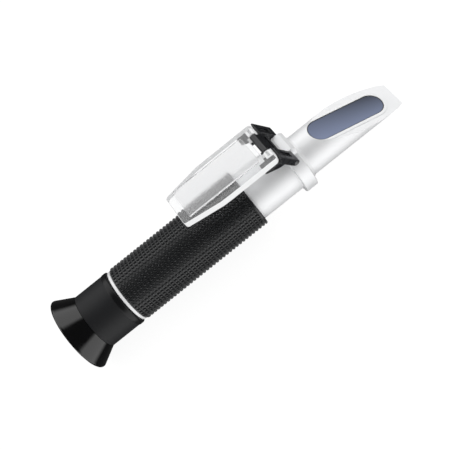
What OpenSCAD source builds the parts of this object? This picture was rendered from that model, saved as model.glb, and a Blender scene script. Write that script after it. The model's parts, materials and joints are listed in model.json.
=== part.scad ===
// Handheld brewing refractometer: a sighting tube with a slanted measuring
// prism at one end, a focusing eyepiece at the other and a daylight plate that
// swings back on a two-pivot link. Millimetres. The optical axis is the X axis,
// X = 0 is the rim of the eyecup and the sample face looks up (+Z).

/* [Eyepiece] */
// Radius of the flared rim of the eyecup
eyecup_rim_r = 17.8; // [16.5:0.1:19]
// Length of the eyecup that shows
eyecup_len = 9.7; // [8.5:0.1:11]
// Outside radius of the focus ring
focus_r = 13.25; // [12.9:0.05:13.6]
// Length of the focus ring
focus_len = 17.2; // [16:0.1:17.2]
// How far the eyepiece screws out
focus_travel = 3.0; // [1:0.5:3]

/* [Tube and grip] */
// Outside radius of the bare sighting tube
tube_r = 11.1; // [10.9:0.05:11.6]
// Inside radius of the sighting tube
tube_bore_r = 9.3; // [9.3:0.05:9.5]
// Outside radius of the rubber grip
grip_r = 13.4; // [13:0.05:14]
// Length of the rubber grip
grip_len = 66.2; // [60:0.2:70]
// Pitch of the ribs of the grip
rib_pitch = 1.8; // [1.4:0.1:2.4]
// Depth of the grooves between the ribs
rib_depth = 0.6; // [0.3:0.05:0.8]
// Outside radius of the bright trim ring
trim_r = 12.8; // [12.5:0.05:13.2]

/* [Prism housing] */
// Outside radius of the collar
collar_r = 13.5; // [13.2:0.05:13.6]
// Length of the collar
collar_len = 5.8; // [5.6:0.1:6]
// Outside radius of the nose
nose_r = 9.8; // [9.6:0.05:10]
// Overall length of the instrument
total_len = 171.8; // [170:0.1:174]
// Angle of the sample face to the optical axis
face_a = 22.17; // [21.5:0.05:23]
// Width of the prism window
window_w = 10.5; // [9:0.1:11]
// Length of the prism window along the slope
window_len = 37.0; // [34:0.1:37.5]
// Height of the rim around the window
window_rim_h = 0.2; // [0.1:0.05:0.25]

/* [Hinge] */
// Height of the hinge pin above the optical axis
pin_z = 16.0; // [15.8:0.05:16.4]
// Radius of the hinge pin
pin_r = 0.85; // [0.7:0.05:1]
// Width of the hinge bracket across both arms
bracket_w = 21.2; // [20:0.1:22]
// Gap between the two arms
arm_gap = 10.2; // [10:0.05:10.4]
// Thickness of each arm
arm_t = 3.0; // [2.8:0.05:3.1]
// Radius of the barrel that carries the cover
barrel_r = 1.5; // [1.4:0.05:1.55]
// Radius of the cover's pivot rod
rod_r = 0.7; // [0.5:0.05:0.8]

/* [Cover] */
// Length of the clear cover, from the free end to the tabs
cover_len = 45.1; // [42:0.1:45.3]
// Width of the clear cover
cover_w = 20.3; // [19:0.1:20.6]
// Width of the clear cover at its free end
cover_tip_w = 15.2; // [14.6:0.1:17]
// Thickness of the clear cover
cover_t = 3.9; // [3.5:0.1:4]
// Width of the frosted pad
pad_w = 14.0; // [12:0.1:14.2]
// Length of the frosted pad
pad_len = 35.0; // [32:0.1:35.2]
// Height of the frosted pad
pad_t = 1.2; // [0.8:0.05:1.3]

/* [Optics and calibration] */
// Radius of the two eyepiece lenses
eye_lens_r = 7.0; // [6.6:0.05:7.1]
// Radius of the objective lens
objective_r = 5.5; // [5:0.05:5.6]
// Radius of the scale glass
reticle_r = 8.4; // [8:0.05:8.6]
// Radius of the calibration screw's shank
cal_r = 1.5; // [1.2:0.05:1.6]
// Clearance between the sliding and turning surfaces
running_gap = 0.05; // [0.03:0.01:0.08]

/* [Hidden] */
$fn = 72;
eps = 0.01;

// Stations along the optical axis
ring_x0 = eyecup_len;
ring_x1 = ring_x0 + focus_len;
trim_x0 = ring_x1 + 0.25;
trim_len = 1.55;
grip_x0 = trim_x0 + trim_len;
grip_x1 = grip_x0 + grip_len;
collar_x0 = grip_x1 + 21.2;
collar_x1 = collar_x0 + collar_len;
nose_x0 = collar_x1 + 1.5;
neck_r = tube_r - 0.5;
neck_x0 = 14;
neck_x1 = grip_x0;

// Sample face: its top edge, then its own frame with x down the slope
face_x0 = total_len - 42.3;
window_mid = 20.2;
window_r = window_w / 2;
gasket_w = 0.4;
gasket_d = 2.2;
rim_w = 1.3;
prism_t = 3;
heel_d = 10;
heel_end = window_mid - 5;
heel_x = face_x0 + 0.5;
channel_r = 5;
spigot_x0 = collar_x0 - 10.1;

// Hinge bracket: local x runs along the arms away from the pin, local z points
// to the side that the open cover lies on
pin_x = collar_x0 + 2.3;
arm_a = 117.55;
barrel_u = 13.84;
barrel_w = 1.01;
barrel_x = pin_x + barrel_u * cos(arm_a) - barrel_w * sin(arm_a);
barrel_z = pin_z + barrel_u * sin(arm_a) + barrel_w * cos(arm_a);
arm_len = 11.9;
lug_w = arm_gap - 0.5;
barrel_half = 4.75;
neck_half = 4.7;

// Cover, drawn swung back: its outer face is underneath
cover_z0 = barrel_z - 3.5;
cover_z1 = cover_z0 + cover_t;
cover_x1 = barrel_x + 2.2;
cover_x0 = cover_x1 - cover_len;
cover_taper = 18.7;
notch_x = barrel_x - 2.5;
notch_half = 5;
pad_x0 = cover_x0 + 3.6;
knuckle_r = 1.6;
fin_gap = 0.15;

// Calibration screw, on the underside of the bare tube
cal_x = grip_x1 + 4.9;
carrier_x0 = cal_x - 1.8;
carrier_x1 = spigot_x0 - 0.1;
carrier_flat = -7.2;
bush_r = 3.2;
bush_z = -7.8;
lock_x = spigot_x0 + 5;

// Eyepiece stations
clip_x = 8.2;
barrel_step = 12.6;
lens_barrel_x0 = 8;
lens_barrel_x1 = 32;
journal_r = 8;
guide_x = 21;
eye_flat_x = 12.8;
field_flat_x = 26.5;
lens_edge = 1.2;
lens_round = 20;
reticle_x = 47;

/* Shapes that repeat */

// Turns a profile of [radius, x] points about the optical axis
module turned(points) {
    rotate([0, 90, 0]) rotate_extrude() polygon(points);
}

module ring(x0, x1, r_in, r_out) {
    turned([[r_in, x0], [r_out, x0], [r_out, x1], [r_in, x1]]);
}

module rod_x(x0, x1, r) {
    translate([x0, 0, 0]) rotate([0, 90, 0]) cylinder(h = x1 - x0, r = r);
}

module rod_y(x, z, half, r) {
    translate([x, half, z]) rotate([90, 0, 0]) cylinder(h = 2 * half, r = r);
}

// Radial cylinder: a = 0 points down, positive towards +Y
module radial(x, a, r0, r1, r) {
    translate([x, 0, 0]) rotate([180 + a, 0, 0]) translate([0, 0, r0])
        cylinder(h = r1 - r0, r = r, $fn = 32);
}

// Extrudes an outline drawn in the XZ plane from y0 to y1
module along_y(y0, y1) {
    translate([0, y1, 0]) rotate([90, 0, 0]) linear_extrude(y1 - y0) children();
}

module both_sides() {
    children();
    mirror([0, 1, 0]) children();
}

// O-ring lying around the optical axis
module o_ring(x, mid_r, r) {
    translate([x, 0, 0]) rotate([0, 90, 0]) rotate_extrude()
        translate([mid_r, 0]) circle(r = r, $fn = 24);
}

// Plano-convex lens with its flat at x and its dome towards dir
module lens(x, dir, r, round_r) {
    sag = round_r - sqrt(round_r * round_r - r * r);
    far = lens_edge + sag;
    translate([x, 0, 0]) mirror([dir < 0 ? 1 : 0, 0, 0]) intersection() {
        rod_x(0, far + 1, r);
        translate([far - round_r, 0, 0]) rotate([0, 90, 0]) sphere(r = round_r);
    }
}

// Carries its children into the frame of the sample face
module on_face() {
    translate([face_x0, 0, nose_r]) rotate([0, face_a, 0]) children();
}

// Slot-shaped column under the sample face, grown by g all round
module window_column(g, top, depth) {
    straight = window_len / 2 - window_r;
    translate([window_mid, 0, -depth]) {
        translate([-straight, -window_r - g, 0])
            cube([2 * straight, window_w + 2 * g, depth + top]);
        for (s = [-1, 1])
            translate([s * straight, 0, 0]) cylinder(h = depth + top, r = window_r + g);
    }
}

module bracket_frame() {
    translate([pin_x, 0, pin_z]) rotate([0, -arm_a, 0]) children();
}

function arc(cx, cy, r, a0, a1, n) =
    [for (i = [0 : n]) let (a = a0 + (a1 - a0) * i / n) [cx + r * cos(a), cy + r * sin(a)]];

/* Fixed body */

module main_tube() {
    color("silver") difference() {
        turned([[tube_bore_r, neck_x0], [neck_r - 0.4, neck_x0],
            [neck_r, neck_x0 + 0.4], [neck_r, 24.5], [neck_r - 0.8, 24.5],
            [neck_r - 0.8, 25.5], [neck_r, 25.5], [neck_r, neck_x1],
            [tube_r, neck_x1], [tube_r, collar_x0], [tube_bore_r, collar_x0]]);
        translate([guide_x - focus_travel - 1.4, -1.05, -neck_r - 1])
            cube([focus_travel + 2.8, 2.1, 3]);
        radial(cal_x, 0, 7, tube_r + 1, bush_r);
        for (a = [-45, 45]) radial(lock_x, a, 8, tube_r + 1, 1);
    }
}

// Rubber sleeve: ribbed, with a smooth rim at the prism end
module grip_sleeve() {
    ribs = floor((grip_len - 2.4) / rib_pitch);
    rib = [for (i = [0 : ribs - 1]) let (x = grip_x0 + 0.5 + i * rib_pitch)
        each [[grip_r, x], [grip_r, x + rib_pitch * 0.45],
            [grip_r - rib_depth, x + rib_pitch * 0.65],
            [grip_r - rib_depth, x + rib_pitch * 0.8]]];
    color("dimgray") turned(concat([[tube_r, grip_x1], [tube_r, grip_x0],
        [grip_r - rib_depth, grip_x0]], rib,
        [[grip_r, grip_x1 - 1.9], [grip_r, grip_x1 - 0.4], [grip_r - 0.4, grip_x1]]));
}

module trim_ring() {
    color("gainsboro") turned([[neck_r, trim_x0], [trim_r - 0.3, trim_x0],
        [trim_r, trim_x0 + 0.3], [trim_r, grip_x0 - 0.3],
        [trim_r - 0.3, grip_x0], [neck_r, grip_x0]]);
}

// Collar, lug, spigot and nose are one machined piece
module prism_housing() {
    color("silver") difference() {
        union() {
            turned([[0, spigot_x0], [tube_bore_r, spigot_x0],
                [tube_bore_r, collar_x0], [collar_r - 0.3, collar_x0],
                [collar_r, collar_x0 + 0.3], [collar_r, collar_x1 - 0.3],
                [collar_r - 0.3, collar_x1], [nose_r + 1.85, collar_x1],
                [nose_r + 0.7, collar_x1 + 0.5], [nose_r + 0.2, nose_x0],
                [nose_r, nose_x0 + 0.5], [nose_r, total_len], [0, total_len]]);
            along_y(-lug_w / 2, lug_w / 2) polygon([[collar_x0, 11],
                [collar_x0, pin_z + 1], [collar_x0 + 1, pin_z + 2],
                [collar_x1 - 1.5, pin_z + 2], [collar_x1, pin_z + 0.5],
                [collar_x1, 11]]);
        }
        difference() {
            on_face() translate([-1.5, -20, 0]) cube([60, 40, 30]);
            on_face() window_column(gasket_w + rim_w, window_rim_h, 1);
        }
        on_face() window_column(gasket_w, 1, gasket_d);
        prism_body();
        rod_x(spigot_x0 - 1, heel_x, channel_r);
        rod_y(pin_x, pin_z, 8, pin_r);
        ring(spigot_x0 + 1.5, spigot_x0 + 2.4, tube_bore_r - 0.8, tube_bore_r + 1);
        for (a = [-45, 45]) radial(lock_x, a, 7.2, tube_bore_r + 0.5, 1);
    }
}

// Wedge of glass: a plate under the window with a deep heel behind it
module prism_body() {
    difference() {
        on_face() window_column(0, 0, heel_d);
        on_face() translate([heel_end, -10, -heel_d - 1]) cube([40, 20, heel_d + 1 - prism_t]);
        translate([heel_x - 20, -10, -15]) cube([20, 20, 40]);
    }
}

module prism() {
    color("lightsteelblue") prism_body();
}

module prism_gasket() {
    color("black") difference() {
        on_face() window_column(gasket_w, -0.1, gasket_d);
        on_face() window_column(0, 1, gasket_d + 1);
    }
}

module hinge_pin() {
    color("lightgray") rod_y(pin_x, pin_z, bracket_w / 2, pin_r);
}

module reticle_glass() {
    color("aliceblue") rod_x(reticle_x - 1.6, reticle_x, reticle_r);
}

module reticle_holder() {
    color("black") turned([[reticle_r, reticle_x - 5], [tube_bore_r, reticle_x - 5],
        [tube_bore_r, reticle_x + 3], [7.4, reticle_x + 3],
        [7.4, reticle_x], [reticle_r, reticle_x]]);
}

module reticle_retainer() {
    color("black") ring(reticle_x - 3.6, reticle_x - 1.6, 7.2, reticle_r);
}

module aperture_stop() {
    color("black") turned([[4.5, 70.6], [5.2, 70], [tube_bore_r, 70],
        [tube_bore_r, 73], [8.4, 73], [8.4, 71.5], [4.5, 71.5]]);
}

// Ring with two rails that let the lens carrier slide up and down only
module carrier_guide() {
    color("darkgray") {
        difference() {
            ring(carrier_x0 - 3, carrier_x0 - 0.1, 6, tube_bore_r);
            radial(cal_x, 0, 0, 12, bush_r + 0.2);
        }
        intersection() {
            rod_x(carrier_x0 - 0.1, spigot_x0, tube_bore_r);
            both_sides() translate([carrier_x0 - 1, 8.1, -3]) cube([20, 3, 6]);
        }
    }
}

module tube_seal() {
    color("black") o_ring(spigot_x0 + 1.95, tube_bore_r - 0.4, 0.39);
}

module focus_seal() {
    color("black") o_ring(25, neck_r - 0.4, 0.39);
}

// Two socket grub screws that lock the spigot in the tube
module lock_screws() {
    color("dimgray") for (a = [-45, 45]) difference() {
        radial(lock_x, a, 7.3, tube_r - 0.2, 1);
        translate([lock_x, 0, 0]) rotate([180 + a, 0, 0])
            translate([0, 0, tube_r - 1.2]) cylinder(h = 2, r = 0.55, $fn = 6);
    }
}

module screw_bush() {
    color("goldenrod") difference() {
        radial(cal_x, 0, -bush_z, tube_r, bush_r);
        radial(cal_x, 0, -bush_z - 1, tube_r, cal_r + running_gap);
        radial(cal_x, 0, 9.4, tube_r + 1, 2.4);
    }
}

/* Lens carrier, moved by the calibration screw */

module lens_carrier() {
    color("darkgray") difference() {
        rod_x(carrier_x0, carrier_x1, tube_bore_r - 0.7);
        both_sides() translate([carrier_x0 - 1, 8, -15]) cube([20, 5, 30]);
        translate([carrier_x0 - 1, -15, carrier_flat - 10]) cube([20, 30, 10]);
        rod_x(carrier_x0 - 1, carrier_x1 + 1, 3.8);
        rod_x(carrier_x0 + 3.4, carrier_x1 + 1, objective_r);
        radial(cal_x, 0, 4.4, 10, cal_r + running_gap);
    }
}

module objective_lens() {
    color("azure") lens(carrier_x0 + 3.4, 1, objective_r, 18);
}

module objective_retainer() {
    color("black") ring(carrier_x0 + 5, carrier_x0 + 6.3, objective_r - 0.8, objective_r);
}

module calibration_screw() {
    color("gold") difference() {
        union() {
            radial(cal_x, 0, 4.8, 9.6, cal_r);
            radial(cal_x, 0, 9.5, 10.5, 2.3);
        }
        translate([cal_x - 3, -0.3, -11]) cube([6, 0.6, 1]);
    }
}

module screw_plug() {
    color("black") {
        radial(cal_x, 0, 10.65, tube_r + 0.2, 2.32);
        radial(cal_x, 0, tube_r + 0.05, tube_r + 0.8, 3.4);
    }
}

/* Sliding part of the eyepiece */

module lens_barrel() {
    color("dimgray") difference() {
        turned([[eye_lens_r, lens_barrel_x0], [journal_r, lens_barrel_x0],
            [journal_r, barrel_step], [tube_bore_r - running_gap, barrel_step],
            [tube_bore_r - running_gap, lens_barrel_x1], [6.2, lens_barrel_x1],
            [6.2, field_flat_x + 1.85], [eye_lens_r, field_flat_x + 1.85]]);
        radial(guide_x, 0, 7.6, 12, 1);
    }
}

module eye_lens() {
    color("azure") lens(eye_flat_x, -1, eye_lens_r, lens_round);
}

module field_lens() {
    color("azure") lens(field_flat_x, 1, eye_lens_r, lens_round);
}

module lens_spacer() {
    color("black") ring(eye_flat_x, field_flat_x, 6.2, eye_lens_r);
}

module eye_lens_retainer() {
    color("black") turned([[6.1, 10.1], [eye_lens_r, 9.5], [eye_lens_r, 11.1], [6.1, 11.1]]);
}

module guide_screw() {
    color("gray") radial(guide_x, 0, 7.6, neck_r - 0.3, 1);
}

module barrel_clip() {
    color("gray") ring(clip_x, clip_x + 1.1, journal_r, 9.4);
}

/* Turning part of the eyepiece */

module focus_ring() {
    lip_x = ring_x1 - 3.7;
    color("dimgray") turned([[9.7, 6], [11, 6], [11, ring_x0],
        [focus_r - 0.35, ring_x0], [focus_r, ring_x0 + 0.35],
        [focus_r, lip_x - 0.3], [focus_r - 0.25, lip_x],
        [focus_r + 0.2, lip_x + 0.3], [focus_r + 0.2, ring_x1 - 0.5],
        [focus_r - 0.4, ring_x1], [neck_r + running_gap, ring_x1],
        [neck_r + running_gap, barrel_step - 0.1],
        [journal_r + running_gap, barrel_step - 0.1],
        [journal_r + running_gap, ring_x0], [9.7, ring_x0]]);
}

// Rubber bell with a rolled rim
module eyecup() {
    lip = 0.95;
    lip_mid = eyecup_rim_r - lip;
    color("black") turned(concat([[11, ring_x0], [11, 6], [9.9, 6], [9.9, 5.2],
        [lip_mid - 1.5, 0.25], [lip_mid - 1, 0]],
        [[lip_mid, 0]], arc(lip_mid, lip, lip, -60, 30, 6),
        [[focus_r - 0.05, ring_x0]]));
}

/* Hinge bracket */

module arm_outline() {
    circle(r = arm_t / 2);
    translate([0, -arm_t / 2]) square([arm_len, arm_t]);
}

// Space kept free for the tabs of the cover
module tab_room() {
    translate([cover_x1 - 20, -15, cover_z0 - fin_gap]) cube([20.35, 30, 20]);
}

module hinge_bracket() {
    half = bracket_w / 2;
    in_half = arm_gap / 2;
    color([0.12, 0.12, 0.13]) difference() {
        union() {
            difference() {
                bracket_frame() {
                    both_sides() along_y(in_half, half) arm_outline();
                    along_y(-in_half - 0.1, in_half + 0.1) polygon([[7.2, -1],
                        [10.4, -1], [11.9, -0.4], [11.9, 1.5], [7.2, 1.5]]);
                }
                tab_room();
            }
            bracket_frame() {
                along_y(-neck_half, neck_half) polygon([[9.8, -1], [10.4, -1],
                    [12.9, -0.3], [barrel_u, 0], [barrel_u, 2], [9.8, 1.5]]);
                rod_y(barrel_u, barrel_w, barrel_half, barrel_r);
            }
            translate([barrel_x - 2.1, -barrel_half, barrel_z - 0.4]) cube([1, 0.9, 0.8]);
            both_sides() {
                along_y(6.2, half) polygon([[pin_x - 12.8, cover_z0 - fin_gap],
                    [pin_x - 12.3, cover_z0 - 0.7], [pin_x - 6.6, cover_z0 - 3.2],
                    [pin_x - 4.3, cover_z0 - 3.5], [pin_x - 2.9, cover_z0 - fin_gap]]);
                translate([pin_x - 9.8, 4.3, cover_z0 - 1.2]) cube([1.5, 2.2, 1.2 - fin_gap]);
            }
        }
        rod_y(pin_x, pin_z, 12, pin_r + running_gap);
        rod_y(barrel_x, barrel_z, 6, rod_r);
        bracket_frame() {
            both_sides() translate([2.6, in_half + 1.4, -2]) cube([6.6, 2.4, 1.3]);
            translate([8.3, -3.9, -2]) cube([1.7, 7.8, 1.9]);
        }
    }
}

module cover_rod() {
    color("lightgray") rod_y(barrel_x, barrel_z, 7.5, rod_r);
}

/* Cover */

// Outline of the cover seen from above, with rounded corners
module cover_outline() {
    h = cover_w / 2;
    t = cover_tip_w / 2;
    side = concat(arc(cover_x0 + 1.2, t - 1.2, 1.2, 180, 100, 6),
        [[cover_x0 + cover_taper - 2, h - 0.12], [cover_x0 + cover_taper + 2, h]],
        arc(cover_x1 - 1.6, h - 1.6, 1.6, 90, 0, 6),
        [[cover_x1, notch_half], [notch_x, notch_half]]);
    far = [for (i = [len(side) - 1 : -1 : 0]) [side[i][0], -side[i][1]]];
    polygon(concat(side, far));
}

module cover_plate() {
    color([0.85, 0.9, 0.95, 0.5]) difference() {
        union() {
            translate([0, 0, cover_z0]) linear_extrude(cover_t) cover_outline();
            both_sides() translate([barrel_x, 8, barrel_z]) rotate([90, 0, 0])
                cylinder(h = 2.7, r = knuckle_r);
        }
        both_sides() translate([barrel_x, 7.7, barrel_z]) rotate([90, 0, 0])
            cylinder(h = 4, r = rod_r + running_gap);
        difference() {
            translate([barrel_x, -15, cover_z0 - 1]) cube([6, 30, 4.5]);
            rod_y(barrel_x, barrel_z, 16, barrel_z - cover_z0);
        }
    }
}

module diffuser_pad() {
    color([0.95, 0.95, 0.95]) translate([pad_x0, -pad_w / 2, cover_z1])
        cube([pad_len, pad_w, pad_t]);
}

main_tube();
grip_sleeve();
trim_ring();
prism_housing();
prism();
prism_gasket();
hinge_pin();
reticle_glass();
reticle_holder();
reticle_retainer();
aperture_stop();
carrier_guide();
tube_seal();
focus_seal();
lock_screws();
screw_bush();
lens_carrier();
objective_lens();
objective_retainer();
calibration_screw();
screw_plug();
lens_barrel();
eye_lens();
eye_lens_retainer();
lens_spacer();
field_lens();
guide_screw();
barrel_clip();
focus_ring();
eyecup();
hinge_bracket();
cover_rod();
cover_plate();
diffuser_pad();
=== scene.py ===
import json
import math

import bmesh
import bpy
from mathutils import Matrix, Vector
from mathutils.bvhtree import BVHTree


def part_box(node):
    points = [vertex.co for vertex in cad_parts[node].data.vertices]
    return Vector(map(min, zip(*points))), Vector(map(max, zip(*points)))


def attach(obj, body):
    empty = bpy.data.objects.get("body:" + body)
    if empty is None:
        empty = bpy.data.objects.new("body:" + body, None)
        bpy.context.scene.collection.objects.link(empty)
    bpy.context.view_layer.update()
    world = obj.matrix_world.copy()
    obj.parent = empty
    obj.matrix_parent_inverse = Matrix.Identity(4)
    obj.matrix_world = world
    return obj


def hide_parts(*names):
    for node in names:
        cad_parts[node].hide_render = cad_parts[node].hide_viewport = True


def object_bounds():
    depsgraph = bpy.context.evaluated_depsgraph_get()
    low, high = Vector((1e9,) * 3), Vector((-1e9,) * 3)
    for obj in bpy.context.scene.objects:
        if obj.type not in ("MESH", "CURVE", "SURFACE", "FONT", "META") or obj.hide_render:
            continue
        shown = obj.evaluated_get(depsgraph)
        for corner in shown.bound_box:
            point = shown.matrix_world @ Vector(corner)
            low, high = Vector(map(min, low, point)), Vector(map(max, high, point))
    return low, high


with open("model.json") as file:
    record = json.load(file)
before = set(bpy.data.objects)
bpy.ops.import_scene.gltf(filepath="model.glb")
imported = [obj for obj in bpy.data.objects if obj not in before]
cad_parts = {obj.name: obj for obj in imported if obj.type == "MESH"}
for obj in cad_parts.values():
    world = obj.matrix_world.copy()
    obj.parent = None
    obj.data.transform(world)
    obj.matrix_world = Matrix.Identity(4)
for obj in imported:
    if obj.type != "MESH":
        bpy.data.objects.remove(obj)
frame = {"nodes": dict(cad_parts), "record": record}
cad_box = [list(map(float, corner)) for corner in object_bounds()]
bodies = frame["record"]["behaviour"]["bodies"]
slots = {part["node"]: part["material_slot"] for part in frame["record"]["subparts"]}

MM = 0.001
SMOOTH_ANGLE = 35  # degrees: an edge sharper than this stays sharp in the shading
scene = bpy.context.scene
scene.view_settings.view_transform = "Standard"


# ---------------------------------------------------------------- camera

CAMERA_AT = Vector((90.83, -167.48, 284.89)) * MM
CAMERA_TURN = [math.radians(a) for a in (23.275, 19.552, -34.009)]
LENS_MM, SENSOR_MM = 61.66, 36

camera_data = bpy.data.cameras.new("camera")
camera_data.lens = LENS_MM
camera_data.sensor_width = SENSOR_MM
camera_data.clip_start = 0.01
camera = bpy.data.objects.new("camera", camera_data)
camera.location = CAMERA_AT
camera.rotation_euler = CAMERA_TURN
scene.collection.objects.link(camera)
scene.camera = camera


# ---------------------------------------------------------------- node helpers

class Nodes:
    """A node tree with short names for what the materials repeat."""

    def __init__(self, tree):
        self.tree = tree
        self.tree.nodes.clear()

    def add(self, kind, **settings):
        node = self.tree.nodes.new(kind)
        for name, value in settings.items():
            setattr(node, name, value)
        return node

    def put(self, socket, value):
        if isinstance(value, bpy.types.NodeSocket):
            self.tree.links.new(value, socket)
        else:
            socket.default_value = value

    def math(self, operation, a, b):
        node = self.add("ShaderNodeMath", operation=operation)
        self.put(node.inputs[0], a)
        self.put(node.inputs[1], b)
        return node.outputs[0]

    def vector(self, operation, a, b=(0, 0, 0)):
        node = self.add("ShaderNodeVectorMath", operation=operation)
        self.put(node.inputs[0], a)
        self.put(node.inputs[1], b)
        is_number = operation in ("DOT_PRODUCT", "LENGTH")
        return node.outputs["Value" if is_number else "Vector"]

    def place(self):
        return self.add("ShaderNodeTexCoord").outputs["Object"]

    def noise(self, vector, scale, detail=3.0, roughness=0.5, stretch=(1, 1, 1)):
        vector = self.vector("MULTIPLY", vector, stretch)
        node = self.add("ShaderNodeTexNoise")
        self.put(node.inputs["Vector"], vector)
        node.inputs["Scale"].default_value = scale
        node.inputs["Detail"].default_value = detail
        node.inputs["Roughness"].default_value = roughness
        return node.outputs["Fac"]

    def axis(self, vector, which):
        split = self.add("ShaderNodeSeparateXYZ")
        self.put(split.inputs[0], vector)
        return split.outputs[which]

    def off_axis(self, vector):
        """Distance from the optical axis."""
        return self.vector("LENGTH", self.vector("MULTIPLY", vector, (0, 1, 1)))

    def edges(self, radius):
        """1 along sharp edges, where a rounded normal differs from the true one, 0 elsewhere."""
        bevel = self.add("ShaderNodeBevel", samples=4)
        bevel.inputs["Radius"].default_value = radius
        true_normal = self.add("ShaderNodeNewGeometry").outputs["Normal"]
        agreement = self.vector("DOT_PRODUCT", bevel.outputs[0], true_normal)
        return self.span(agreement, 0.90, 0.995, 1.0, 0.0)

    def span(self, value, low, high, to_low=0.0, to_high=1.0, smooth=False):
        node = self.add("ShaderNodeMapRange")
        if smooth:
            node.interpolation_type = "SMOOTHSTEP"
        for socket, item in zip(node.inputs, (value, low, high, to_low, to_high)):
            self.put(socket, item)
        return node.outputs[0]

    def ramp(self, value, stops):
        node = self.add("ShaderNodeValToRGB")
        self.put(node.inputs[0], value)
        elements = node.color_ramp.elements
        while len(elements) < len(stops):
            elements.new(0.5)
        for element, (position, colour) in zip(elements, stops):
            element.position = position
            element.color = (*colour, 1.0)
        return node.outputs["Color"]

    def mix(self, factor, a, b):
        node = self.add("ShaderNodeMix", data_type="RGBA")
        self.put(node.inputs["Factor"], factor)
        for name, value in (("A", a), ("B", b)):
            socket = [s for s in node.inputs if s.name == name and s.type == "RGBA"][0]
            is_socket = isinstance(value, bpy.types.NodeSocket)
            self.put(socket, value if is_socket else (*value, 1.0))
        return [s for s in node.outputs if s.type == "RGBA"][0]

    def bump(self, height, strength, distance):
        node = self.add("ShaderNodeBump")
        node.inputs["Strength"].default_value = strength
        node.inputs["Distance"].default_value = distance
        self.put(node.inputs["Height"], height)
        return node.outputs[0]


def material(name, build):
    """A principled material, whose sockets are filled by build(nodes, shader)."""
    made = bpy.data.materials.new(name)
    made.use_nodes = True
    n = Nodes(made.node_tree)
    shader = n.add("ShaderNodeBsdfPrincipled")
    out = n.add("ShaderNodeOutputMaterial")
    made.node_tree.links.new(shader.outputs[0], out.inputs[0])
    build(n, shader)
    return made


# ---------------------------------------------------------------- studio

FLOOR_Z = cad_box[0][2]
SOFT_BOX_STRENGTH = 1.7

# The soft boxes run along the object, one on either side of this direction
VIEW_HEIGHT = math.radians(60)
VIEWED_FROM = (0, -math.cos(VIEW_HEIGHT), math.sin(VIEW_HEIGHT))


def degrees_to_ramp(angle):
    """Place on a ramp over the cosine of an angle, from -1 to 1."""
    return (math.cos(math.radians(angle)) + 1) / 2


def build_world():
    """Two long soft boxes either side of the camera, dark between and behind."""
    world = bpy.data.worlds.new("studio")
    world.use_nodes = True
    scene.world = world
    n = Nodes(world.node_tree)
    ray = n.add("ShaderNodeTexCoord").outputs["Generated"]
    across = n.vector("LENGTH", n.vector("MULTIPLY", ray, (0, 1, 1)))
    cosine = n.math("DIVIDE", n.vector("DOT_PRODUCT", ray, VIEWED_FROM), across)
    place = n.span(cosine, -1, 1)
    dark, lit = (0.03,) * 3, (1.0,) * 3
    # Degrees from that direction, the outer side of a soft box first
    outer_dark, outer_lit, inner_lit, inner_dark = map(degrees_to_ramp, (112, 98, 50, 38))
    glow = n.ramp(place, [(0.0, dark), (outer_dark, dark), (outer_lit, lit),
                          (inner_lit, lit), (inner_dark, dark), (1.0, dark)])
    # Both soft boxes fade towards the ends of the object's long axis
    ends = n.span(across, 0.2, 0.6, 0.15, 1.0, smooth=True)
    background = n.add("ShaderNodeBackground")
    n.put(background.inputs["Color"], glow)
    n.put(background.inputs["Strength"], n.math("MULTIPLY", ends, SOFT_BOX_STRENGTH))
    out = n.add("ShaderNodeOutputWorld")
    world.node_tree.links.new(background.outputs[0], out.inputs[0])


def pale_paper(n, shader):
    """Paper that glows evenly, so that it is almost white at every distance."""
    shader.inputs["Base Color"].default_value = (0.14, 0.14, 0.14, 1)
    shader.inputs["Roughness"].default_value = 0.9
    shader.inputs["Specular IOR Level"].default_value = 0.0
    shader.inputs["Emission Color"].default_value = (1.0, 1.0, 1.0, 1.0)
    shader.inputs["Emission Strength"].default_value = 0.90


def build_stage():
    """A pale sweep: a floor disc that curves up into a wall and a ceiling. Sizes in metres."""
    reach, corner, top, crown, middle_x = 1.6, 0.5, 2.4, 0.4, 0.08
    steps, around = 10, 48
    profile = [(0.0, 0.0), (reach - corner, 0.0)]
    for i in range(1, steps + 1):
        angle = math.pi / 2 * i / steps
        radius = reach - corner + corner * math.sin(angle)
        profile.append((radius, corner - corner * math.cos(angle)))
    profile += [(reach, top), (0.0, top + crown)]
    verts, faces = [], []
    for radius, height in profile:
        for j in range(around):
            angle = 2 * math.pi * j / around
            x, y = radius * math.cos(angle) + middle_x, radius * math.sin(angle)
            verts.append((x, y, FLOOR_Z + height))
    for i in range(len(profile) - 1):
        a, b = i * around, (i + 1) * around
        for j in range(around):
            k = (j + 1) % around
            faces.append((a + j, a + k, b + k, b + j))
    mesh = bpy.data.meshes.new("sweep")
    mesh.from_pydata(verts, [], faces)
    mesh.validate()
    sweep = bpy.data.objects.new("sweep", mesh)
    scene.collection.objects.link(sweep)
    mesh.materials.append(material("pale_paper", pale_paper))
    sweep.visible_glossy = False
    sweep.visible_shadow = False


build_world()
build_stage()


# ---------------------------------------------------------------- materials

GRIP_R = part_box("grip_sleeve")[1].z
GRIP_DEPTH = 0.52 * MM
LIP_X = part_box("focus_ring")[1].x - 2.5 * MM
LIP_BLEND = 0.25 * MM
WINDOW_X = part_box("prism_gasket")[0].x


def mottled(n, scale):
    """Soft cloudy patches, smaller at a higher scale."""
    return n.noise(n.place(), scale, detail=4.0, roughness=0.6)


def relief(n, shader, fine, strength, height):
    """The fine pattern as relief on the surface."""
    n.put(shader.inputs["Normal"], n.bump(fine, strength, height))


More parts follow.
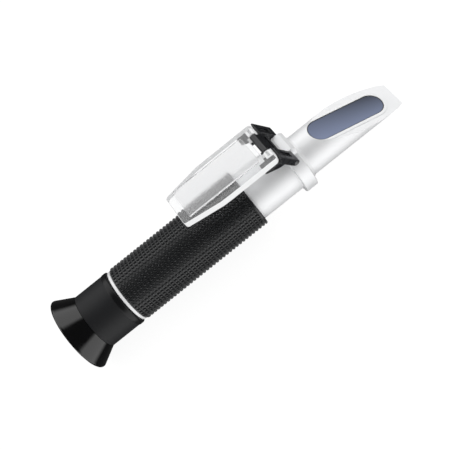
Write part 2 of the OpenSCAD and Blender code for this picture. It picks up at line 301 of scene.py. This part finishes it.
def edge_wear_and_highlight(n, colour, edge_colour, radius, amount):
    """A colour that turns to the edge colour in patches along the edges: rubbed wear, and on the
    hinge bracket a painted edge highlight.
    """
    patches = n.span(n.noise(n.place(), 900, detail=4.0, roughness=0.7), 0.34, 0.56)
    # Along the edges: rubbed wear, and on the hinge bracket a painted edge highlight
    rubbed = n.math("MULTIPLY", n.edges(radius), patches)
    return n.mix(n.math("MULTIPLY", rubbed, amount), colour, edge_colour)


def satin_aluminium(n, shader):
    """Bead-blasted, then turned: fine rings about the axis and a faint handling haze."""
    p = n.place()
    cloud = mottled(n, 120)
    rings = n.noise(p, 1.0, detail=2.0, roughness=0.6, stretch=(5200, 40, 40))
    tone = n.math("ADD", n.math("MULTIPLY", cloud, 0.6), n.math("MULTIPLY", rings, 0.4))
    colour = n.mix(tone, (0.795, 0.80, 0.808), (0.855, 0.86, 0.866))
    shader.inputs["Metallic"].default_value = 0.70
    n.put(shader.inputs["Base Color"], edge_wear_and_highlight(n, colour, (0.93, 0.93, 0.93), 0.18 * MM, 0.6))
    n.put(shader.inputs["Roughness"], n.span(tone, 0.3, 0.7, 0.55, 0.67))
    relief(n, shader, rings, 0.16, 0.02 * MM)


def bright_trim(n, shader):
    """Smoother metal than the tube's, with finer rings."""
    rings = n.noise(n.place(), 1.0, detail=2.0, roughness=0.6, stretch=(9000, 60, 60))
    shader.inputs["Metallic"].default_value = 0.22
    n.put(shader.inputs["Base Color"], n.mix(rings, (0.70, 0.70, 0.705), (0.79, 0.79, 0.795)))
    n.put(shader.inputs["Roughness"], n.span(rings, 0.3, 0.7, 0.44, 0.56))
    relief(n, shader, rings, 0.15, 0.02 * MM)


def grip_rubber(n, shader):
    """Moulded rubber, rubbed smooth on the points and duller in the bottoms."""
    p = n.place()
    height = n.span(n.off_axis(p), GRIP_R - GRIP_DEPTH, GRIP_R)
    patch = mottled(n, 90)
    colour = n.mix(patch, (0.0042, 0.0046, 0.0052), (0.0068, 0.0073, 0.0080))
    n.put(shader.inputs["Base Color"], colour)
    n.put(shader.inputs["Roughness"], n.span(height, 0.0, 1.0, 0.40, 0.22))
    shader.inputs["Sheen Weight"].default_value = 0.35
    shader.inputs["Sheen Roughness"].default_value = 0.30
    relief(n, shader, n.noise(p, 3800, roughness=0.6), 0.08, 0.05 * MM)


def focus_plastic(n, shader):
    """Matte spark-eroded plastic, with a smoother darker lip at the tube end."""
    p = n.place()
    lip = n.span(n.axis(p, "X"), LIP_X - LIP_BLEND, LIP_X + LIP_BLEND, smooth=True)
    grain = n.noise(p, 6500, roughness=0.6)
    matte = n.mix(mottled(n, 220), (0.0050, 0.0053, 0.0060), (0.0074, 0.0077, 0.0085))
    colour = n.mix(lip, matte, (0.0030, 0.0031, 0.0034))
    n.put(shader.inputs["Base Color"], edge_wear_and_highlight(n, colour, (0.035, 0.035, 0.036), 0.15 * MM, 0.5))
    n.put(shader.inputs["Roughness"], n.span(lip, 0.0, 1.0, 0.54, 0.30))
    shader.inputs["Specular IOR Level"].default_value = 0.26
    grain_left = n.span(lip, 0.0, 1.0, 1.0, 0.25)
    relief(n, shader, n.math("MULTIPLY", grain, grain_left), 0.25, 0.05 * MM)


def eyecup_rubber(n, shader):
    """Glossy black rubber with faint smears."""
    p = n.place()
    smear = n.noise(p, 260, detail=4.0, roughness=0.65)
    colour = n.mix(smear, (0.0008, 0.0008, 0.0009), (0.0016, 0.0016, 0.0018))
    n.put(shader.inputs["Base Color"], colour)
    n.put(shader.inputs["Roughness"], n.span(smear, 0.35, 0.7, 0.09, 0.16))
    shader.inputs["Specular IOR Level"].default_value = 0.55
    relief(n, shader, n.noise(p, 1400, detail=2.0), 0.05, 0.05 * MM)


def hinge_plastic(n, shader):
    """Black moulded plastic with a painted highlight along its edges, pale in rubbed-looking
    patches.
    """
    p = n.place()
    cloud = mottled(n, 300)
    colour = n.mix(cloud, (0.0030, 0.0032, 0.0042), (0.0050, 0.0053, 0.0066))
    # The pale edge colour is a painted edge highlight, standing in for light caught on the edges
    n.put(shader.inputs["Base Color"], edge_wear_and_highlight(n, colour, (0.24, 0.243, 0.25), 0.15 * MM, 0.80))
    n.put(shader.inputs["Roughness"], n.span(cloud, 0.3, 0.7, 0.22, 0.34))
    relief(n, shader, n.noise(p, 5000, roughness=0.6), 0.14, 0.05 * MM)


def prism_glass(n, shader):
    """Coated prism with painted shade: darker towards the far side and the tip, bluer towards the
    near side.
    """
    p = n.place()
    low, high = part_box("prism")
    # How dark the painted shade is already at the collar and on the near side, where 1 is the
    # darkest
    shade_at_collar, shade_at_near_side = 0.587, 0.446
    tip = n.span(n.axis(p, "X"), WINDOW_X, high.x, shade_at_collar, 1.0)
    far = n.span(n.axis(p, "Y"), low.y, high.y, shade_at_near_side, 1.0)
    # Painted shade: the two ramps, multiplied, darken the blue towards the tip and the far side
    colour = n.mix(n.math("MULTIPLY", tip, far), (0.222, 0.268, 0.412), (0.003, 0.007, 0.017))
    n.put(shader.inputs["Base Color"], colour)
    shader.inputs["Specular IOR Level"].default_value = 0.25
    n.put(shader.inputs["Roughness"], n.span(n.noise(p, 500), 0.4, 0.7, 0.03, 0.08))


def clear_plastic(n, shader):
    """Moulded clear plastic, a little milky right through."""
    shader.inputs["Base Color"].default_value = (0.925, 0.93, 0.935, 1)
    shader.inputs["Transmission Weight"].default_value = 0.92
    shader.inputs["IOR"].default_value = 1.30
    n.put(shader.inputs["Roughness"], n.span(n.noise(n.place(), 400), 0.4, 0.7, 0.0, 0.02))


def clear_edge(n, shader):
    """The sides of the clear plate, grey and with a painted glow that stands in for the light
    they gather and pass on.
    """
    cloud = mottled(n, 500)
    n.put(shader.inputs["Base Color"], n.mix(cloud, (0.50, 0.505, 0.51), (0.56, 0.565, 0.57)))
    n.put(shader.inputs["Roughness"], n.span(cloud, 0.3, 0.7, 0.42, 0.54))
    shader.inputs["IOR"].default_value = 1.30
    # Painted glow: the sides give off light of their own
    shader.inputs["Emission Color"].default_value = (1.0, 1.0, 1.0, 1.0)
    shader.inputs["Emission Strength"].default_value = 0.30


def frosted_plastic(n, shader):
    """Clear plastic with a finely dulled surface."""
    p = n.place()
    shader.inputs["Base Color"].default_value = (0.90, 0.90, 0.905, 1)
    shader.inputs["Transmission Weight"].default_value = 0.90
    shader.inputs["IOR"].default_value = 1.30
    n.put(shader.inputs["Roughness"], n.span(n.noise(p, 900), 0.3, 0.7, 0.17, 0.25))
    relief(n, shader, n.noise(p, 3500, detail=2.0), 0.3, 0.04 * MM)


def lens_glass(n, shader):
    """Clear glass with a trace of smear."""
    shader.inputs["Base Color"].default_value = (0.96, 0.98, 0.99, 1)
    shader.inputs["Transmission Weight"].default_value = 1.0
    shader.inputs["IOR"].default_value = 1.52
    smear = n.noise(n.place(), 500, detail=2.0)
    n.put(shader.inputs["Roughness"], n.span(smear, 0.4, 0.7, 0.0, 0.02))


def machined(dark, light, rough):
    """Turned metal with fine tool marks."""
    def build(n, shader):
        marks = n.noise(n.place(), 1.0, roughness=0.6, stretch=(7000, 900, 900))
        shader.inputs["Metallic"].default_value = 1.0
        n.put(shader.inputs["Base Color"], n.mix(marks, dark, light))
        n.put(shader.inputs["Roughness"], n.span(marks, 0.3, 0.7, rough * 0.8, rough * 1.2))
        relief(n, shader, marks, 0.12, 0.03 * MM)
    return build


def dull(dark, light, rough):
    """Painted metal or moulded rubber with a fine grain."""
    def build(n, shader):
        n.put(shader.inputs["Base Color"], n.mix(mottled(n, 250), dark, light))
        cloud = mottled(n, 500)
        n.put(shader.inputs["Roughness"], n.span(cloud, 0.3, 0.7, rough * 0.85, rough * 1.1))
        relief(n, shader, n.noise(n.place(), 3000, roughness=0.6), 0.2, 0.05 * MM)
    return build


looks = {
    "satin_aluminium": satin_aluminium,
    "bright_trim": bright_trim,
    "grip_rubber": grip_rubber,
    "focus_plastic": focus_plastic,
    "eyecup_rubber": eyecup_rubber,
    "hinge_plastic": hinge_plastic,
    "prism_glass": prism_glass,
    "clear_plastic": clear_plastic,
    "clear_edge": clear_edge,
    "frosted_plastic": frosted_plastic,
    "lens_glass": lens_glass,
    "steel": machined((0.54, 0.54, 0.55), (0.68, 0.68, 0.69), rough=0.28),
    "brass": machined((0.68, 0.48, 0.21), (0.84, 0.62, 0.30), rough=0.3),
    "black_metal": dull((0.012, 0.012, 0.012), (0.019, 0.019, 0.020), rough=0.5),
    "seal_rubber": dull((0.009, 0.009, 0.009), (0.015, 0.015, 0.016), rough=0.6),
}
mats = {name: material(name, build) for name, build in looks.items()}

for node_name, slot in slots.items():
    node = frame["nodes"][node_name]
    node.data.materials.clear()
    node.data.materials.append(mats[slot])


# ---------------------------------------------------------------- pieces

def ring_mesh(name, rings):
    """Skin over a list of rings of points, each joined to the next and the last to the first."""
    verts = [p for ring in rings for p in ring]
    around = len(rings[0])
    faces = []
    for i in range(len(rings)):
        a, b = i * around, (i + 1) % len(rings) * around
        for j in range(around):
            k = (j + 1) % around
            faces.append((a + j, b + j, b + k, a + k))
    mesh = bpy.data.meshes.new(name)
    mesh.from_pydata(verts, [], faces)
    mesh.validate()
    piece = bpy.data.objects.new(name, mesh)
    scene.collection.objects.link(piece)
    return piece


def sharper(bm, angle):
    """Edges between two faces that turn by more than the angle, in degrees."""
    limit = math.radians(angle)
    return [e for e in bm.edges if len(e.link_faces) == 2 and e.calc_face_angle(0) > limit]


def shade_smooth(bm):
    """Smooth faces, with only the sharper edges kept sharp."""
    for face in bm.faces:
        face.smooth = True
    for edge in sharper(bm, SMOOTH_ANGLE):
        edge.smooth = False


def lathe(name, profile, around=144):
    """A closed profile of (radius, x) points in millimetres, turned about the optical axis."""
    turns = [2 * math.pi * j / around for j in range(around)]
    rings = [[(x * MM, r * MM * math.cos(t), r * MM * math.sin(t)) for t in turns]
             for r, x in profile]
    piece = ring_mesh(name, rings)
    bm = bmesh.new()
    bm.from_mesh(piece.data)
    bmesh.ops.recalc_face_normals(bm, faces=bm.faces)
    shade_smooth(bm)
    bm.to_mesh(piece.data)
    bm.free()
    return piece


def arc(centre_r, centre_x, radius, start, end, steps=6):
    """Points of a profile along an arc; 0 degrees points away from the axis, 90 along +X."""
    turns = [math.radians(start + (end - start) * i / steps) for i in range(steps + 1)]
    return [(centre_r + radius * math.cos(t), centre_x + radius * math.sin(t)) for t in turns]


def stand_for(piece, node):
    """The piece takes the node's body and place, and the node is hidden."""
    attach(piece, [body for body, nodes in bodies.items() if node in nodes][0])
    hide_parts(node)


def build_focus_ring():
    """Focus ring: a long matte band that swells into a rounded lip at the tube end."""
    low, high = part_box("focus_ring")
    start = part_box("eyecup")[1].x / MM
    end, outer = high.x / MM, high.z / MM
    boss_x, boss_r, boss_in = low.x / MM, 11.0, 9.7
    step_x, neck_in, journal_in = 12.5, 10.65, 8.05
    rise, rise_length, rise_steps = 0.2, 0.7, 6
    lip, band = LIP_X / MM, outer - rise
    corner, lip_round = 0.4, 0.9
    profile = [(boss_in, boss_x), (boss_r, boss_x), (boss_r, start)]
    profile += arc(band - corner, start + corner, corner, -90, 0)
    for i in range(rise_steps + 1):
        share = (1 - math.cos(math.pi * i / rise_steps)) / 2
        profile.append((band + rise * share, lip + rise_length * (i / rise_steps - 0.5)))
    profile += arc(outer - lip_round, end - lip_round, lip_round, 0, 90, 8)
    profile += [(neck_in, end), (neck_in, step_x), (journal_in, step_x),
                (journal_in, start), (boss_in, start)]
    ring = lathe("smooth_focus_ring", profile)
    ring.data.materials.append(mats["focus_plastic"])
    stand_for(ring, "focus_ring")


def build_grip():
    """Rubber sleeve covered in small pyramids, with a smooth rim at one end."""
    low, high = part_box("grip_sleeve")
    x0, x1, top = low.x, high.x, high.z
    bore, rim, margin = 11.12 * MM, 1.2 * MM, 0.15 * MM
    rim_round, round_steps = 0.75 * MM, 6
    shoulder, shoulder_drop = 0.25 * MM, 0.1 * MM
    rows, columns = 36, 49
    pitch = (x1 - x0 - rim - 2 * margin) / rows
    # One pyramid as (place along its pitch, share of its height), flat on top
    tooth = ((0.0, 0.0), (0.05, 0.0), (0.35, 1.0), (0.67, 1.0), (0.97, 0.0))
    lift = [h for _ in range(columns) for _, h in tooth]
    turn = [2 * math.pi * ((j + u) / columns) for j in range(columns) for u, _ in tooth]

    def circle(x, radii):
        return [(x, r * math.cos(t), r * math.sin(t)) for r, t in zip(radii, turn)]

    def plain(x, r):
        return circle(x, [r] * len(turn))

    def toothed(x, height):
        return circle(x, [top - GRIP_DEPTH * (1 - min(height, h)) for h in lift])

    rings = [plain(x0, bore), plain(x0, top - GRIP_DEPTH)]
    start = x0 + margin
    for i in range(rows):
        rings += [toothed(start + (i + u) * pitch, h) for u, h in tooth]
    end = start + rows * pitch
    rings += [plain(end, top - GRIP_DEPTH), plain(end + margin, top - shoulder_drop),
              plain(end + shoulder, top)]
    for i in range(round_steps + 1):
        angle = math.pi / 2 * i / round_steps
        x = x1 - rim_round * (1 - math.sin(angle))
        rings.append(plain(x, top - rim_round * (1 - math.cos(angle))))
    rings.append(plain(x1, bore))
    grip = ring_mesh("chequered_grip", rings)
    grip.data.materials.append(mats["grip_rubber"])
    stand_for(grip, "grip_sleeve")


def refined(node, name, width, segments=2, is_side=None, clamp=True):
    """A copy of a CAD node with its sharp edges rounded.

    The width is the most that they get: with the clamp on, the shortest edge of the piece
    can leave all of them nearly sharp. Faces for which is_side is true get material 1.
    """
    weld, flat_angle, bevel_angle = 0.002 * MM, 1, 32
    source = frame["nodes"][node]
    bm = bmesh.new()
    bm.from_mesh(source.data)
    bmesh.ops.remove_doubles(bm, verts=bm.verts, dist=weld)
    bmesh.ops.dissolve_limit(bm, angle_limit=math.radians(flat_angle),
                             verts=bm.verts, edges=bm.edges)
    skin = BVHTree.FromBMesh(bm)
    bmesh.ops.bevel(bm, geom=sharper(bm, bevel_angle), offset=width, offset_type="OFFSET",
                    segments=segments, profile=0.5, affect="EDGES", clamp_overlap=clamp)
    # Where edges meet at a shallow angle a corner can be thrown off, and goes back to the surface
    for vertex in bm.verts:
        place, _, _, gap = skin.find_nearest(vertex.co)
        if gap > width / 2:
            vertex.co = place
    shade_smooth(bm)
    bmesh.ops.triangulate(bm, faces=[f for f in bm.faces if len(f.verts) > 4])
    if is_side is not None:
        for face in bm.faces:
            face.material_index = 1 if is_side(face) else 0
    mesh = bpy.data.meshes.new(name)
    bm.to_mesh(mesh)
    bm.free()
    piece = bpy.data.objects.new(name, mesh)
    scene.collection.objects.link(piece)
    for m in source.data.materials:
        mesh.materials.append(m)
    weighted = piece.modifiers.new("weighted_normals", "WEIGHTED_NORMAL")
    weighted.keep_sharp = True
    stand_for(piece, node)
    return piece


build_grip()
build_focus_ring()

# The clamp leaves the housing and the cover almost none of their widths. Without it the bevel
# cut into the window opening and pushed the cover's knuckles into the rod.
refined("hinge_bracket", "rounded_bracket", 0.14 * MM, clamp=False)
refined("prism_housing", "rounded_housing", 0.2 * MM)
refined("trim_ring", "rounded_trim", 0.12 * MM)
cover = refined("cover_plate", "clear_cover", 0.3 * MM, is_side=lambda f: abs(f.normal.z) < 0.9)
cover.data.materials.append(mats["clear_edge"])

# The pad's lower face is lifted, so that it doesn't lie in the same plane as the plate's face
PAD_LIFT = 0.05 * MM
pad = refined("diffuser_pad", "frosted_pad", 0.35 * MM, segments=3)
for vertex in pad.data.vertices:
    if vertex.co.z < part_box("diffuser_pad")[0].z + PAD_LIFT:
        vertex.co.z += PAD_LIFT
